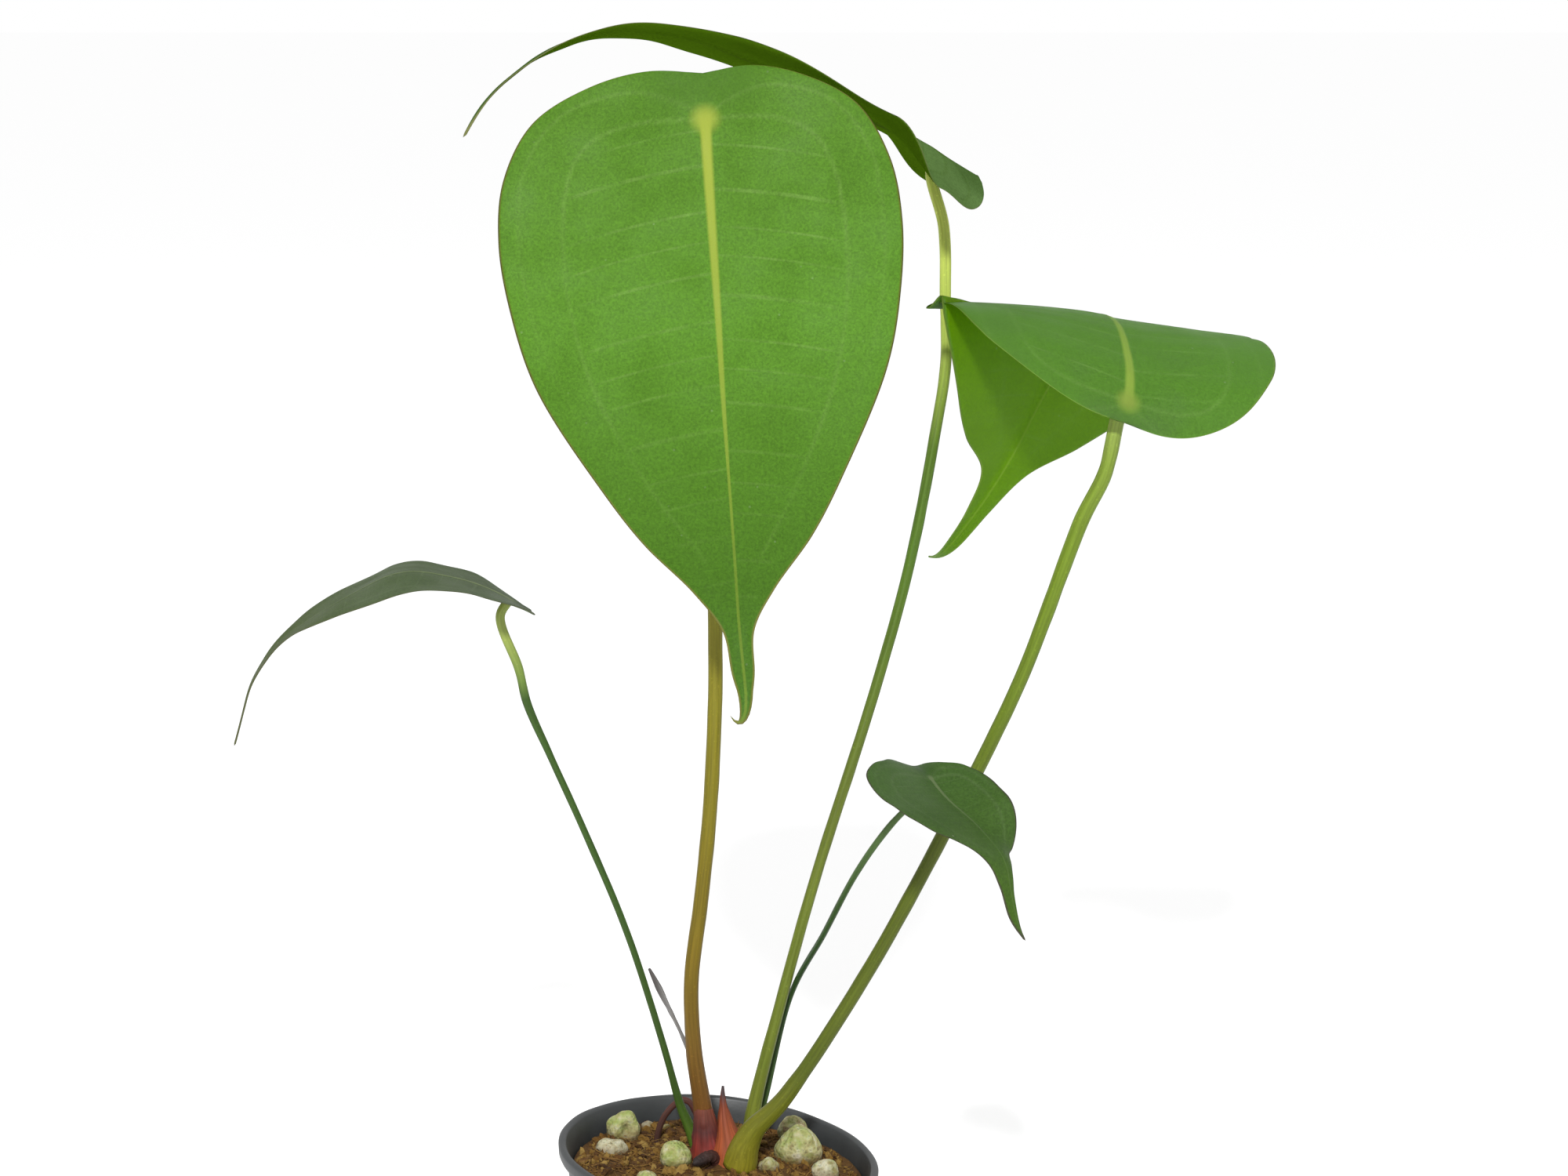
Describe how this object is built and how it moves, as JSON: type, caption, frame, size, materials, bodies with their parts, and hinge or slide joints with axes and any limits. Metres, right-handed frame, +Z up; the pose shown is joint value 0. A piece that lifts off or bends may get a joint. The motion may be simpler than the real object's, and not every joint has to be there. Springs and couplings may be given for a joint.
{
  "type": "potted anthurium",
  "caption": "Young potted anthurium: heart-shaped leaves on slender arching stalks rising from a short crown in a soft black nursery pot of bark and pumice mix.",
  "frame": {"origin": "centre of the pot's flat base, on the surface it stands on", "axes": "+Z up out of the pot, -Y towards the side the showy front leaf faces, +X towards the large leaf bent over on the right"},
  "size_m": [0.3205, 0.1695, 0.4393],
  "materials": {
    "pot_shell": "thin moulded black polypropylene, matt",
    "potting_mix": "moist brown bark and coir mix",
    "crown_and_roots": "brown fibrous stem",
    "pumice": "weathered pumice, pale with a green film",
    "bark": "brown bark chip",
    "blade_front": "leathery green leaf, semi-matt",
    "petiole_front": "smooth green stalk",
    "blade_back": "leathery green leaf, semi-matt",
    "petiole_back": "smooth green stalk",
    "blade_right": "leathery green leaf, semi-matt",
    "petiole_right": "smooth green stalk",
    "blade_left": "leathery green leaf, semi-matt",
    "petiole_left": "smooth green stalk",
    "blade_small": "leathery green leaf, semi-matt",
    "petiole_small": "smooth green stalk",
    "sheath_orange": "papery orange-brown sheath",
    "sheath_red": "papery red-brown sheath",
    "old_stub": "dark dried leaf stub",
    "dried_stalk": "grey withered stalk",
    "aerial_root": "red-brown aerial root"
  },
  "bodies": {
    "root": {"pot_shell": "pot_shell", "potting_mix": "potting_mix", "crown_and_roots": "crown_and_roots", "blade_front": "blade_front", "petiole_front": "petiole_front", "blade_back": "blade_back", "petiole_back": "petiole_back", "blade_right": "blade_right", "petiole_right": "petiole_right", "blade_left": "blade_left", "petiole_left": "petiole_left", "blade_small": "blade_small", "petiole_small": "petiole_small", "sheath_orange": "sheath_orange", "sheath_red": "sheath_red", "old_stub": "old_stub", "dried_stalk": "dried_stalk", "aerial_root": "aerial_root", "pumice_hollow": "pumice", "pumice_white": "pumice", "pumice_bead": "pumice", "pumice_pink": "pumice", "pumice_round": "pumice", "pumice_cap": "pumice", "pumice_tall": "pumice", "pumice_low": "pumice", "pumice_near": "pumice", "pumice_front": "pumice", "pumice_front_left": "pumice", "pumice_front_right": "pumice", "bark_chip_left": "bark", "bark_chip_back": "bark", "bark_chip_front": "bark", "bark_chip_right": "bark", "bark_chip_edge": "bark"}
  },
  "joints": []
}
